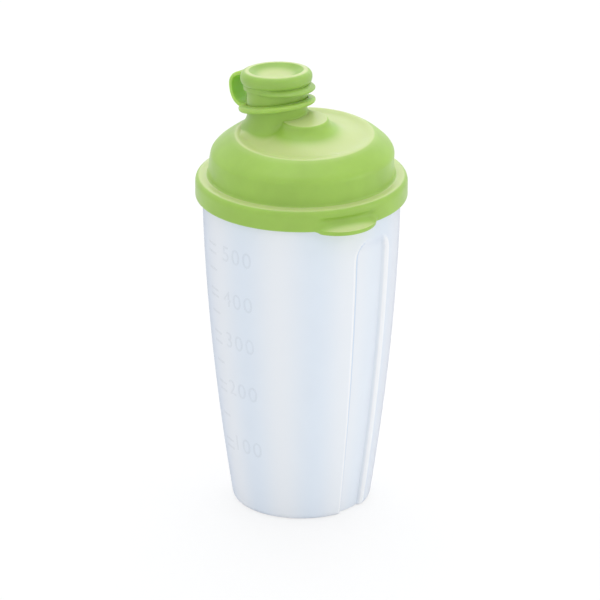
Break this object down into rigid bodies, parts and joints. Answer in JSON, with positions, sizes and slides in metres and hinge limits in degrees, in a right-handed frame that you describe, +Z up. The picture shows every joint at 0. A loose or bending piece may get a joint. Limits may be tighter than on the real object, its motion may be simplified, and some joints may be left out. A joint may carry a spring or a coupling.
{
  "type": "shaker cup",
  "caption": "Tapered translucent shaker cup with side grips, a domed push-on lid with thumb tab, an off-centre pouring spout with tethered cap, and a mixing sieve under the lid.",
  "frame": {"origin": "centre of the cup's flat foot, on the plane the cup stands on", "axes": "+Z up along the cup, +Y from the cup's axis towards the spout, grips facing -Y and +Y, the scale side facing -X"},
  "size_m": [0.0918, 0.0952, 0.1951],
  "materials": {
    "clear_plastic": "translucent, softly glossy",
    "green_plastic": "satin",
    "soft_green_plastic": "satin, flexible"
  },
  "bodies": {
    "cup": {"cup": "clear_plastic"},
    "lid": {"lid": "green_plastic", "spout_neck": "green_plastic"},
    "sieve": {"mixing_sieve": "green_plastic"},
    "tether": {"tether_ring": "soft_green_plastic", "tether_strap": "soft_green_plastic"},
    "spout_cap": {"spout_cap": "soft_green_plastic"}
  },
  "joints": [
    {"name": "lid_lift", "type": "slide", "parent": "cup", "child": "lid", "axis": [0, 0, 1], "range_m": [0, 0.06]},
    {"name": "sieve_release", "type": "slide", "parent": "lid", "child": "sieve", "axis": [0, 0, -1], "range_m": [0, 0.012]},
    {"name": "tether_swivel", "type": "hinge", "parent": "lid", "child": "tether", "pos_m": [0, 0.0143, 0.17895], "axis": [0.0422, 0.0702, 0.9966], "continuous": true},
    {"name": "cap_swing", "type": "hinge", "parent": "tether", "child": "spout_cap", "pos_m": [0.00029, 0.03682, 0.18491], "axis": [-0.9991, 0.0015, 0.0422], "range_deg": [0, 135], "deforming": ["tether_strap"]}
  ]
}
